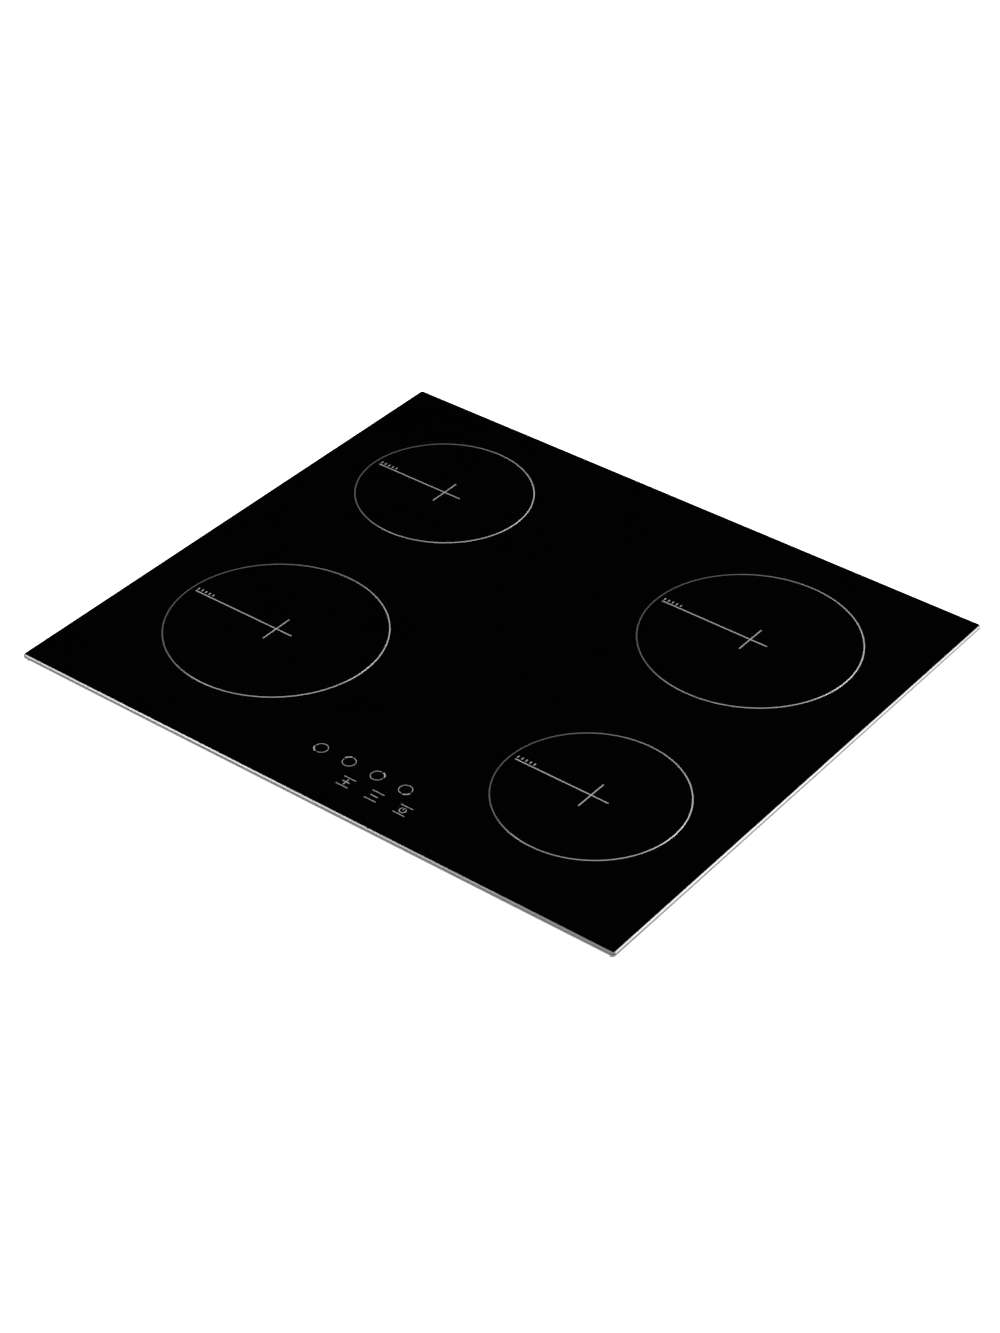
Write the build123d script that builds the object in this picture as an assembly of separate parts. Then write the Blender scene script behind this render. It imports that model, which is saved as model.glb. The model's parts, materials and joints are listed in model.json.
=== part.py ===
from build123d import *
import math
import os

# Built-in induction hob with four zones. Millimetres, +Z up, X along the front edge, +Y to the back.
# The origin is the centre of the worktop plane that the seal rests on.

# Glass plate
glass_width = 590.0
glass_depth = 520.0
glass_thickness = 4.0
glass_corner_radius = 3.0
glass_bevel = 1.25
glass_arris = 0.4

# Worktop seal and the cut-out that the housing hangs in
seal_thickness = 2.0
seal_width = 10.0
seal_inset = 2.0
cutout_overlap = 15.0
cutout_gap = 5.0

# Printed marks on the glass
print_thickness = 0.05
print_line = 1.0
cross_arm = 16.4
pointer_ring_gap = 5.0
pointer_tick_count = 5
pointer_tick_pitch = 4.0
pointer_tick_length = 2.6
pointer_tick_offset = 2.2

# Cooking zones: ring radius, coil radius and the distances of their centres from the glass edges
large_ring_radius = 93.0
large_coil_radius = 85.0
large_from_side = 138.5
large_from_front = 154.0
large_from_back = 136.5
small_ring_radius = 78.0
small_coil_radius = 70.0
small_from_side = 121.0
small_from_front = 138.0
small_from_back = 120.5

# Touch controls, measured from the front edge and the centre line of the glass
key_pitch = 28.0
zone_keys_start_x = -25.6
zone_keys_from_front = 55.1
lower_keys_start_x = 16.4
lower_keys_from_front = 34.1
zone_key_radius = 5.5
zone_key_line = 0.5
zone_key_mark_radius = 5.9
zone_key_mark_line = 1.1
zone_key_mark_gap = 14.0
key_bar_length = 11.5
key_bar_line = 0.6
key_bar_spacing = 10.5
sign_length = 7.0
sign_line = 0.7
power_ring_radius = 2.8
power_gap_angle = 70.0
power_stem_length = 3.4

# Sheet-steel case: a shallow rim pan with a deeper, smaller base pan under it
case_sheet = 0.8
rim_drop = 15.0
base_drop = 46.0
rim_corner_radius = 8.0
base_corner_radius = 10.0
base_front_step = 36.0
base_side_step = 22.0
base_back_step = 8.0

# Glued mounting frame
adhesive_thickness = 0.8
adhesive_width = 8.0
adhesive_inset = 1.5
frame_sheet = 1.0
frame_flange = 11.0
frame_outset = 6.0
tab_width = 24.0
tab_length = 11.0
tab_sheet = 1.2
tab_gap = 0.2
tab_side_y = 150.0
tab_end_x = 190.0

# M4 sheet screws
screw_radius = 1.9
screw_hole_radius = 2.1
screw_head_radius = 3.8
screw_head_height = 2.3
screw_length = 7.0
screw_drop = 6.0

# Aluminium coil tray
tray_sheet = 1.0
tray_overlap = 8.0
tray_screw_edge = 4.2
tray_screw_tip = 0.5
tray_corner_radius = 12.0
lead_hole_radius = 8.0
lead_hole_edge = 2.0

# Coil assemblies
glass_clearance = 0.3
insulation_thickness = 0.5
insulation_rim = 2.0
litz_diameter = 3.6
litz_pitch = 4.2
coil_inner_radius = 22.0
ferrite_thickness = 3.5
ferrite_width = 14.0
ferrite_gap = 4.0
ferrite_count = 8
base_plate_thickness = 1.2
base_plate_rim = 3.0
base_plate_hole_radius = 8.0
sensor_radius = 6.0
sensor_wall_gap = 0.5
sensor_flange_lip = 2.0
sensor_flange_thickness = 1.5
sensor_stem_reach = 2.0
spring_wire = 1.0
spring_radius = 5.0
spring_turns = 2.5
spring_count = 3
spring_inset = 22.0
spring_gap = 0.3
spring_start_angle = 90.0

# Power boards, heat sinks and fans
board_thickness = 1.6
board_lift = 5.0
board_wall_gap = 16.0
board_width = 180.0
board_depth = 280.0
board_front_gap = 20.0
post_radius = 3.0
post_edge = 8.0
sink_base_thickness = 4.0
sink_fin_height = 18.0
sink_fin_thickness = 1.5
sink_fin_count = 9
sink_fins_width = 46.0
sink_flange = 24.0
sink_length = 200.0
sink_edge = 8.0
transistor_size = (16.0, 21.0, 5.0)
transistor_count = 5
transistor_pitch = 36.0
film_capacitor_size = (30.0, 15.0, 20.0)
film_capacitor_pitch = 24.0
film_capacitor_rows = 4
film_capacitor_columns = 2
film_capacitor_gap = 4.0
filter_capacitor_gap = 6.0
choke_radius = 15.0
choke_wire_radius = 5.5
choke_post_gap = 6.0
choke_front_edge = 4.0
fan_size = 92.0
fan_height = 27.0
fan_wall = 1.6
fan_corner_radius = 8.0
fan_wall_gap = 16.0
fan_back_gap = 14.0
fan_inlet_radius = 29.0
fan_chamber_radius = 42.0
fan_outlet_width = 62.0
rotor_radius = 35.0
rotor_disc = 1.2
rotor_gap = 1.5
blade_count = 20
blade_length = 9.0
blade_thickness = 0.9
blade_rim_gap = 0.5
hub_radius = 12.0
spindle_radius = 1.5
spindle_clearance = 0.06

# Mains side: terminal block, hinged cover, cord inlet and filter board
terminal_size = (70.0, 22.0, 19.0)
terminal_ways = 6
terminal_wall_gap = 6.0
terminal_lift = 1.0
terminal_foot_share = (0.8, 0.6)
terminal_well_share = 0.32
terminal_entry_share = 0.25
terminal_entry_rise = 0.35
terminal_entry_depth = 8.0
opening_width = 80.0
opening_bottom = 4.5
opening_top_gap = 3.5
cover_overlap = 4.0
cover_thickness = 2.5
cover_wall_gap = 0.5
cover_barrel_radius = 2.5
cover_pin_radius = 1.5
cover_pin_clearance = 0.1
cover_side_gap = 0.4
cover_ear_sheet = 1.5
cover_ear_radius = 3.2
cover_axis_drop = 0.5
cover_ledge_gap = 1.5
cover_pin_end = 0.6
cover_rib_count = 3
cover_rib_pitch = 6.0
cover_rib_size = (0.8, 2.0)
cover_rib_margin = 8.0
cover_rib_lift = 2.0
inlet_from_centre = 100.0
inlet_rise = 15.0
inlet_bore_radius = 6.0
inlet_wall = 2.6
inlet_flange = 2.5
inlet_flange_rim = 2.5
inlet_lip = 2.0
inlet_lip_rim = 1.5
filter_width = 100.0
filter_depth = 88.0
filter_back_gap = 44.0

# Control unit under the front edge
control_width = 150.0
control_height = 13.0
control_wall = 1.5
control_wall_gap = 0.7
control_corner_radius = 4.0
control_board_gap = 0.4
control_board_lift = 2.0
control_ledge = 4.0
touch_pad_radius = 6.5
touch_pad_wall = 1.2
display_size = (6.4, 7.6)
display_gap = 0.6

# Leaf clips that centre the housing in the cut-out
clip_sheet = 0.8
clip_height = 10.0
clip_top_gap = 2.5
clip_start_y = 62.0
clip_reach = 6.4
clip_length = 50.0
clip_tip_length = 6.0
clip_tip_return = 0.5
clip_hook_length = 5.5
clip_hook_depth = 2.6
clip_slot_gap = 0.5

# Vents
vent_width = 3.0
vent_pitch = 7.0
vent_height = 20.0
vent_floor_gap = 6.0
front_vent_count = 10
side_vent_count = 12
back_vent_count = 8
grille_slot = 3.2
grille_pitch = 6.0

# Wires
lead_radius = 1.8
lead_bend = 4.0
lead_spacing_x = 6.0
lead_spacing_y = 8.0
lead_run_drop = 6.0
lead_board_edge = 12.0
lead_tail_drop = 1.0
mains_wire_radius = 1.4
mains_wire_bend = 5.0
mains_wire_pitch = 14.0
mains_wire_rise = 0.6
mains_wire_board_edge = 8.0
ribbon_width = 20.0
ribbon_thickness = 1.0
ribbon_wall_gap = 1.0
ribbon_hole_gap = 3.0
ribbon_slot_gap = 1.0
ribbon_foot_reach = 24.0

# Levels and outlines worked out from the sizes above
glass_bottom = seal_thickness
glass_top = glass_bottom + glass_thickness
frame_top = glass_bottom - adhesive_thickness
frame_bottom = frame_top - frame_sheet
rim_width = glass_width - 2 * cutout_overlap - 2 * cutout_gap
rim_depth = glass_depth - 2 * cutout_overlap - 2 * cutout_gap
ledge_top = -rim_drop + case_sheet
floor_top = -base_drop + case_sheet
base_right = rim_width / 2 - base_side_step
base_front = -rim_depth / 2 + base_front_step
base_back = rim_depth / 2 - base_back_step
base_depth = base_back - base_front
base_middle_y = (base_back + base_front) / 2
tray_bottom = ledge_top
tray_top = tray_bottom + tray_sheet
insulation_top = glass_bottom - glass_clearance
coil_top = insulation_top - insulation_thickness
coil_bottom = coil_top - litz_diameter
ferrite_bottom = coil_bottom - ferrite_thickness
base_plate_bottom = ferrite_bottom - base_plate_thickness
board_bottom = floor_top + board_lift
board_top = board_bottom + board_thickness
sink_right = base_right - board_wall_gap - sink_edge
sink_fins_x = sink_right - sink_fins_width / 2
board_centre_x = base_right - board_wall_gap - board_width / 2
board_centre_y = base_front + board_front_gap + board_depth / 2
board_back = board_centre_y + board_depth / 2
sink_centre_y = board_back - sink_length / 2
fan_x = base_right - fan_wall_gap - fan_size / 2
fan_y = base_back - fan_back_gap - fan_size / 2
fan_top = floor_top + fan_height
rotor_bottom = floor_top + fan_wall + rotor_gap
rotor_top = fan_top - fan_wall - rotor_gap
zone_keys_y = -glass_depth / 2 + zone_keys_from_front
lower_keys_y = -glass_depth / 2 + lower_keys_from_front
control_x = (zone_keys_start_x + lower_keys_start_x + 2 * key_pitch) / 2
control_front = -rim_depth / 2 + case_sheet + control_wall_gap
control_back = zone_keys_y + touch_pad_radius + control_board_gap + control_wall + control_board_gap
control_depth = control_back - control_front
control_y = (control_back + control_front) / 2
control_floor = tray_top
control_board_top = control_floor + control_wall + control_board_lift + board_thickness
cover_axis_y = base_back + cover_wall_gap + cover_barrel_radius
cover_axis_z = -base_drop + opening_bottom - cover_axis_drop
cover_width = opening_width + 2 * cover_overlap
cover_height = -rim_drop - cover_ledge_gap - cover_axis_z
inlet_z = -base_drop + inlet_rise
filter_centre_y = base_back - filter_back_gap - filter_depth / 2
clip_middle_z = frame_bottom - clip_top_gap - clip_height / 2
wall_cut = 6 * case_sheet
smallest_corner = 0.5
zone_key_marks = ["front_left", "rear_left", "rear_right", "front_right"]


def make_zone(side, row, large):
    """Centre and radii of one zone; side is -1 for left, row is -1 for front."""
    from_side = large_from_side if large else small_from_side
    from_front = large_from_front if large else small_from_front
    from_back = large_from_back if large else small_from_back
    x = side * (glass_width / 2 - from_side)
    y = glass_depth / 2 - from_back if row > 0 else -glass_depth / 2 + from_front
    return {
        "x": x,
        "y": y,
        "side": side,
        "ring": large_ring_radius if large else small_ring_radius,
        "coil": large_coil_radius if large else small_coil_radius,
    }


zones = {
    "front_left": make_zone(-1, -1, True),
    "rear_left": make_zone(-1, 1, False),
    "rear_right": make_zone(1, 1, True),
    "front_right": make_zone(1, -1, False),
}


def slab(width, depth, radius, bottom, top, x=0.0, y=0.0):
    """Flat plate with rounded corners between two levels."""
    return extrude(Pos(x, y, bottom) * RectangleRounded(width, depth, radius), top - bottom)


def block(width, depth, bottom, top, x=0.0, y=0.0):
    """Square-cornered box between two levels."""
    return Pos(x, y, (bottom + top) / 2) * Box(width, depth, top - bottom)


def rod(radius, bottom, top, x=0.0, y=0.0):
    """Upright cylinder between two levels."""
    return Pos(x, y, (bottom + top) / 2) * Cylinder(radius, top - bottom)


def tube(outer_radius, inner_radius, bottom, top, x=0.0, y=0.0):
    """Upright tube between two levels."""
    return rod(outer_radius, bottom, top, x, y) - rod(inner_radius, bottom, top, x, y)


def ring_plate(width, depth, radius, band, bottom, top):
    """Rectangular ring of one band width, with rounded corners."""
    outer = slab(width, depth, radius, bottom, top)
    inner_radius = max(radius - band, smallest_corner)
    return outer - slab(width - 2 * band, depth - 2 * band, inner_radius, bottom, top)


def bar(start, end, width):
    """Flat bar with square ends between two points, drawn on the plane Z = 0."""
    length = math.dist(start, end)
    angle = math.degrees(math.atan2(end[1] - start[1], end[0] - start[0]))
    middle = ((start[0] + end[0]) / 2, (start[1] + end[1]) / 2)
    return Pos(*middle) * Rot(0, 0, angle) * Rectangle(length, width)


def strip(points, width):
    """Flat strip of one width with round bends, drawn on the plane Z = 0."""
    spans = []
    for start, end in zip(points, points[1:]):
        length = math.dist(start, end)
        angle = math.degrees(math.atan2(end[1] - start[1], end[0] - start[0]))
        middle = ((start[0] + end[0]) / 2, (start[1] + end[1]) / 2)
        spans.append(Pos(*middle) * Rot(0, 0, angle) * SlotCenterToCenter(length, width))
    return Sketch() + spans


def arc_band(radius, line, start_angle, arc_angle, x=0.0, y=0.0):
    """Part of a flat ring, drawn on the plane Z = 0."""
    ring = Circle(radius + line / 2) - Circle(radius - line / 2)
    reach = 3 * radius
    half = arc_angle / 2
    corners = [(0, 0)]
    for step in range(5):
        turn = math.radians(-half + arc_angle * step / 4)
        corners.append((reach * math.cos(turn), reach * math.sin(turn)))
    wedge = make_face(Polyline(*corners, close=True))
    return Pos(x, y) * Rot(0, 0, start_angle + half) * (ring & wedge)


def wire_along(points, radius, bend):
    """Round wire along straight runs joined by arcs."""
    path = FilletPolyline(*points, radius=bend)
    profile = Plane(origin=path @ 0, z_dir=path % 0) * Circle(radius)
    return sweep(profile, path=path)


def coil_spring(coil_radius, wire_diameter, turns, bottom, top):
    """Round-wire compression spring that stands between two levels."""
    rise = top - bottom - wire_diameter
    helix = Pos(0, 0, bottom + wire_diameter / 2) * Helix(rise / turns, rise, coil_radius)
    profile = Plane(origin=helix @ 0, z_dir=helix % 0) * Circle(wire_diameter / 2)
    return sweep(profile, path=helix, is_frenet=True)


def around(count, radius, x=0.0, y=0.0, start_angle=0.0):
    """Places spaced evenly on a circle."""
    turns = [math.radians(start_angle + 360.0 * step / count) for step in range(count)]
    return [(x + radius * math.cos(turn), y + radius * math.sin(turn)) for turn in turns]


def zone_key_places():
    """Name and X of each zone key, in the order from left to right."""
    return [(name, zone_keys_start_x + step * key_pitch) for step, name in enumerate(zone_key_marks)]


def lower_key_places():
    """X of the plus, minus and power keys."""
    return [lower_keys_start_x + step * key_pitch for step in range(3)]


# Glass and what is bonded to it


def glass_top_plate():
    plate = slab(glass_width, glass_depth, glass_corner_radius, glass_bottom, glass_top)
    plate = chamfer(plate.faces().sort_by(Axis.Z)[-1].edges(), glass_bevel)
    return chamfer(plate.faces().sort_by(Axis.Z)[0].edges(), glass_arris)


def zone_print(zone):
    """Ring, centre cross, long pointer and the short ticks beside the pointer's outer end."""
    x, y = zone["x"], zone["y"]
    ring = Circle(zone["ring"] + print_line / 2) - Circle(zone["ring"] - print_line / 2)
    pointer_end = zone["ring"] - pointer_ring_gap
    cross = bar((-pointer_end, 0), (cross_arm, 0), print_line)
    cross += bar((0, -cross_arm), (0, cross_arm), print_line)
    marks = [ring, cross]
    for step in range(pointer_tick_count):
        tick_x = -pointer_end + step * pointer_tick_pitch + print_line / 2
        tick_end = pointer_tick_offset + pointer_tick_length
        marks.append(bar((tick_x, pointer_tick_offset), (tick_x, tick_end), print_line))
    return [extrude(Pos(x, y, glass_top) * mark, print_thickness) for mark in marks]


def zone_key_print(name, x):
    """Thin ring open on one quarter, with a bolder arc there that shows which zone the key sets."""
    start_angles = {"rear_right": 0.0, "rear_left": 90.0, "front_left": 180.0, "front_right": 270.0}
    start = start_angles[name]
    thin_start = start + 90.0
    thin = arc_band(zone_key_radius, zone_key_line, thin_start, 270.0, x, zone_keys_y)
    bold_angle = 90.0 - 2 * zone_key_mark_gap
    bold_start = start + zone_key_mark_gap
    bold = arc_band(zone_key_mark_radius, zone_key_mark_line, bold_start, bold_angle, x, zone_keys_y)
    return [thin, bold]


def lower_key_print():
    """Plus, minus and power signs, each between two short bars."""
    plus_x, minus_x, power_x = lower_key_places()
    marks = [Pos(x, lower_keys_y + row * key_bar_spacing / 2) * Rectangle(key_bar_length, key_bar_line)
             for x in lower_key_places() for row in (-1, 1)]
    plus = Rectangle(sign_length, sign_line) + Rectangle(sign_line, sign_length)
    marks.append(Pos(plus_x, lower_keys_y) * plus)
    marks.append(Pos(minus_x, lower_keys_y) * Rectangle(sign_length, sign_line))
    ring_start = 90.0 + power_gap_angle / 2
    marks.append(arc_band(power_ring_radius, key_bar_line, ring_start, 360.0 - power_gap_angle,
                          power_x, lower_keys_y))
    stem_y = lower_keys_y + power_stem_length / 2
    marks.append(Pos(power_x, stem_y) * Rectangle(key_bar_line, power_stem_length))
    return marks


def surface_print():
    """All printed marks, as one thin enamel layer on the glass."""
    solids = []
    for zone in zones.values():
        solids += zone_print(zone)
    flat_marks = lower_key_print()
    for name, x in zone_key_places():
        flat_marks += zone_key_print(name, x)
    return solids + [extrude(Pos(0, 0, glass_top) * mark, print_thickness) for mark in flat_marks]


def worktop_seal():
    width = glass_width - 2 * seal_inset
    depth = glass_depth - 2 * seal_inset
    return ring_plate(width, depth, glass_corner_radius, seal_width, 0.0, seal_thickness)


def glass_adhesive():
    width = rim_width + 2 * (frame_outset - adhesive_inset)
    depth = rim_depth + 2 * (frame_outset - adhesive_inset)
    return ring_plate(width, depth, rim_corner_radius, adhesive_width, frame_top, glass_bottom)


def tab_places():
    """Where the frame's tabs meet the case walls: point on the wall's inside and outward direction."""
    side_x = rim_width / 2 - case_sheet
    end_y = rim_depth / 2 - case_sheet
    sides = [(side * side_x, row * tab_side_y, side, 0) for side in (-1, 1) for row in (-1, 1)]
    ends = [(side * tab_end_x, row * end_y, 0, row) for side in (-1, 1) for row in (-1, 1)]
    return sides + ends


def tab_block(place, inner, outer, width, bottom, top):
    """Box at a tab place, from inner to outer along the outward direction."""
    x, y, out_x, out_y = place
    middle = (inner + outer) / 2
    size_x = outer - inner if out_x else width
    size_y = outer - inner if out_y else width
    return block(size_x, size_y, bottom, top, x + out_x * middle, y + out_y * middle)


def tab_rod(place, radius, inner, outer):
    """Level cylinder through a tab place, from inner to outer along the outward direction."""
    x, y, out_x, out_y = place
    middle = (inner + outer) / 2
    turned = Rot(0, 90, 0) if out_x else Rot(90, 0, 0)
    place_at = Pos(x + out_x * middle, y + out_y * middle, frame_bottom - screw_drop)
    return place_at * turned * Cylinder(radius, outer - inner)


def mounting_frame():
    width = rim_width + 2 * frame_outset
    depth = rim_depth + 2 * frame_outset
    frame = ring_plate(width, depth, rim_corner_radius + frame_outset, frame_flange, frame_bottom, frame_top)
    for place in tab_places():
        tab = tab_block(place, -tab_gap - tab_sheet, -tab_gap, tab_width,
                        frame_bottom - tab_length, frame_bottom)
        hole = tab_rod(place, screw_hole_radius, -tab_gap - 2 * tab_sheet, 0)
        frame += tab - hole
    return frame


# Case


def clip_places():
    """Pivot side and row of each leaf clip."""
    return {
        "front_left": (-1, -1),
        "rear_left": (-1, 1),
        "front_right": (1, -1),
        "rear_right": (1, 1),
    }


def vent_row(count, x, y, along_x):
    """Upright vent slots through a base-pan wall."""
    bottom = floor_top + vent_floor_gap
    slots = []
    for step in range(count):
        shift = (step - (count - 1) / 2) * vent_pitch
        width, depth = (vent_width, wall_cut) if along_x else (wall_cut, vent_width)
        slot_x = x + shift if along_x else x
        slot_y = y if along_x else y + shift
        slots.append(block(width, depth, bottom, bottom + vent_height, slot_x, slot_y))
    return slots


def fan_grille(x, y):
    """Parallel intake slots in the floor, cut to a circle under one fan."""
    rows = int(fan_inlet_radius // grille_pitch)
    slots = []
    for step in range(-rows, rows + 1):
        shift = step * grille_pitch
        length = 2 * math.sqrt(fan_inlet_radius ** 2 - shift ** 2) - grille_slot
        if length > 2 * grille_slot:
            outline = Pos(x, y + shift) * SlotOverall(length, grille_slot)
            slots.append(extrude(Pos(0, 0, -base_drop) * outline, case_sheet))
    return slots


def terminal_opening():
    bottom = -base_drop + opening_bottom
    return block(opening_width, wall_cut, bottom, -rim_drop - opening_top_gap, 0, base_back)


def cover_ears():
    """Two lugs on the back wall that hold the terminal cover's hinge pins."""
    ears = []
    for side in (-1, 1):
        x = side * (cover_width / 2 + cover_side_gap + cover_ear_sheet / 2)
        axis_place = Pos(x, cover_axis_y, cover_axis_z) * Rot(0, 90, 0)
        reach = cover_axis_y - base_back
        foot = Pos(x, base_back + reach / 2, cover_axis_z) * Box(cover_ear_sheet, reach, 2 * cover_ear_radius)
        hole_radius = cover_pin_radius + cover_pin_clearance
        hole = axis_place * Cylinder(hole_radius, 2 * cover_ear_sheet)
        ears.append(axis_place * Cylinder(cover_ear_radius, cover_ear_sheet) + foot - hole)
    return ears


def clip_slot(side, row):
    """Window in the rim wall that a leaf clip hooks through."""
    slot_length = clip_hook_depth + 2 * clip_slot_gap + clip_sheet
    y = row * (clip_start_y + clip_hook_depth - case_sheet / 2)
    half_height = clip_height / 2 + clip_slot_gap
    return block(wall_cut, slot_length, clip_middle_z - half_height, clip_middle_z + half_height,
                 side * rim_width / 2, y)


def lower_case():
    outer = slab(rim_width, rim_depth, rim_corner_radius, -rim_drop, frame_bottom)
    outer += slab(2 * base_right, base_depth, base_corner_radius, -base_drop, -rim_drop, 0, base_middle_y)
    both_sheets = 2 * case_sheet
    inner = slab(rim_width - both_sheets, rim_depth - both_sheets, rim_corner_radius - case_sheet,
                 ledge_top, frame_bottom)
    inner += slab(2 * base_right - both_sheets, base_depth - both_sheets, base_corner_radius - case_sheet,
                  floor_top, ledge_top, 0, base_middle_y)
    case = outer - inner
    cuts = [terminal_opening()]
    for side in (-1, 1):
        cuts += vent_row(front_vent_count, side * sink_fins_x, base_front, True)
        cuts += vent_row(back_vent_count, side * fan_x, base_back, True)
        cuts += vent_row(side_vent_count, side * base_right, board_centre_y, False)
        cuts += fan_grille(side * fan_x, fan_y)
    cuts += [clip_slot(side, row) for side, row in clip_places().values()]
    cuts += [tab_rod(place, screw_hole_radius, -2 * case_sheet, 3 * case_sheet) for place in tab_places()]
    cuts += [rod(screw_hole_radius, -rim_drop, ledge_top, x, y) for x, y in tray_screw_places()]
    inlet_radius = inlet_bore_radius + inlet_wall
    cuts.append(Pos(inlet_from_centre, base_back, inlet_z) * Rot(90, 0, 0) * Cylinder(inlet_radius, wall_cut))
    return case - cuts + cover_ears()


def sheet_screws():
    """Case screws through the rim walls and tray screws through the ledge."""
    screws = []
    for place in tab_places():
        head = tab_rod(place, screw_head_radius, case_sheet, case_sheet + screw_head_height)
        screws.append(head + tab_rod(place, screw_radius, case_sheet - screw_length, case_sheet))
    for x, y in tray_screw_places():
        head = rod(screw_head_radius, tray_top, tray_top + screw_head_height, x, y)
        screws.append(head + rod(screw_radius, -rim_drop - tray_screw_tip, tray_top, x, y))
    return screws


# Coil tray and the four floating coil assemblies


def tray_screw_places():
    """Screws along the two sides and the back, on the ledge just outside the base pan."""
    side_x = base_right + tray_screw_edge
    rows = (base_middle_y - base_depth / 3, base_middle_y, base_middle_y + base_depth / 3)
    return [(side * side_x, y) for side in (-1, 1) for y in rows]


def lead_hole(zone):
    """Centre of the tray hole beside a coil's plate, towards the middle, that both its leads drop through."""
    reach = zone["coil"] + base_plate_rim + lead_hole_radius + lead_hole_edge
    return zone["x"] - zone["side"] * reach, zone["y"]


def coil_tray():
    width = 2 * (base_right + tray_overlap)
    front = base_front - tray_overlap
    back = base_back + tray_overlap / 2
    tray = slab(width, back - front, tray_corner_radius, tray_bottom, tray_top, 0, (back + front) / 2)
    holes = [rod(screw_hole_radius, tray_bottom, tray_top, x, y) for x, y in tray_screw_places()]
    for zone in zones.values():
        holes.append(rod(lead_hole_radius, tray_bottom, tray_top, *lead_hole(zone)))
        holes.append(rod(base_plate_hole_radius, tray_bottom, tray_top, zone["x"], zone["y"]))
    hole_width = ribbon_width + 2 * ribbon_hole_gap
    hole_depth = ribbon_thickness + 2 * ribbon_hole_gap
    holes.append(block(hole_width, hole_depth, tray_bottom, tray_top, control_x, ribbon_drop_y()))
    return tray - holes


def coil_winding(zone):
    """Flat spiral of litz wire, drawn as half circles about two centres."""
    start_radius = coil_inner_radius + litz_diameter / 2
    turns = int((zone["coil"] - coil_inner_radius - litz_diameter) // litz_pitch)
    arcs = []
    for step in range(2 * turns):
        centre_x = 0.0 if step % 2 == 0 else litz_pitch / 2
        start_angle = 0.0 if step % 2 == 0 else 180.0
        arcs.append(CenterArc((centre_x, 0), start_radius + step * litz_pitch / 2, start_angle, 180.0))
    path = Pos(zone["x"], zone["y"], (coil_top + coil_bottom) / 2) * Wire(arcs)
    profile = Plane(origin=path @ 0, z_dir=path % 0) * Circle(litz_diameter / 2)
    return sweep(profile, path=path)


def insulation_sheet(zone):
    radius = zone["coil"] + insulation_rim
    hole = sensor_radius + sensor_wall_gap
    return tube(radius, hole, coil_top, insulation_top, zone["x"], zone["y"])


def ferrite_bars(zone):
    inner = coil_inner_radius - ferrite_gap
    outer = zone["coil"] - ferrite_gap
    single = block(outer - inner, ferrite_width, ferrite_bottom, coil_bottom, (inner + outer) / 2)
    bars = []
    for step in range(ferrite_count):
        place = Pos(zone["x"], zone["y"]) * Rot(0, 0, (step + 0.5) * 360.0 / ferrite_count)
        bars.append(place * single)
    return bars


def coil_base_plate(zone):
    radius = zone["coil"] + base_plate_rim
    return tube(radius, base_plate_hole_radius, base_plate_bottom, ferrite_bottom, zone["x"], zone["y"])


def zone_sensor(zone):
    """Temperature probe in a stepped silicone boot that stands in the coil's eye."""
    head = rod(sensor_radius, ferrite_bottom, insulation_top, zone["x"], zone["y"])
    flange_radius = base_plate_hole_radius + sensor_flange_lip
    flange = rod(flange_radius, ferrite_bottom, ferrite_bottom + sensor_flange_thickness, zone["x"], zone["y"])
    stem = rod(sensor_radius / 2, base_plate_bottom - sensor_stem_reach, ferrite_bottom, zone["x"], zone["y"])
    return head + flange + stem


def coil_springs(zone):
    radius = zone["coil"] - spring_inset
    spring = coil_spring(spring_radius, spring_wire, spring_turns, tray_top, base_plate_bottom - spring_gap)
    places = around(spring_count, radius, zone["x"], zone["y"], spring_start_angle)
    return [Pos(x, y, 0) * spring for x, y in places]


# Electronics in the base pan


def power_board(side):
    return block(board_width, board_depth, board_bottom, board_top, side * board_centre_x, board_centre_y)


def filter_board():
    return block(filter_width, filter_depth, board_bottom, board_top, 0, filter_centre_y)


def board_corners(width, depth, x, y):
    half_x = width / 2 - post_edge
    half_y = depth / 2 - post_edge
    return [(x + side * half_x, y + row * half_y) for side in (-1, 1) for row in (-1, 1)]


def board_posts():
    """Plastic stand-offs under each corner of the boards."""
    places = board_corners(filter_width, filter_depth, 0, filter_centre_y)
    for side in (-1, 1):
        places += board_corners(board_width, board_depth, side * board_centre_x, board_centre_y)
    return [rod(post_radius, floor_top, board_bottom, x, y) for x, y in places]


def heat_sink(side):
    """Extruded sink with upright fins beside the flange that the transistors lie on."""
    width = sink_fins_width + sink_flange
    centre_x = side * (sink_right - width / 2)
    fin_bottom = board_top + sink_base_thickness
    sink = block(width, sink_length, board_top, fin_bottom, centre_x, sink_centre_y)
    pitch = (sink_fins_width - sink_fin_thickness) / (sink_fin_count - 1)
    fin_top = fin_bottom + sink_fin_height
    for step in range(sink_fin_count):
        x = side * (sink_right - sink_fin_thickness / 2 - step * pitch)
        sink += block(sink_fin_thickness, sink_length, fin_bottom, fin_top, x, sink_centre_y)
    return sink


def power_transistors():
    width, depth, height = transistor_size
    bottom = board_top + sink_base_thickness
    x = sink_right - sink_fins_width - sink_flange / 2
    pieces = []
    for side in (-1, 1):
        for step in range(transistor_count):
            y = sink_centre_y + (step - (transistor_count - 1) / 2) * transistor_pitch
            pieces.append(block(width, depth, bottom, bottom + height, side * x, y))
    return pieces


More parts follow.
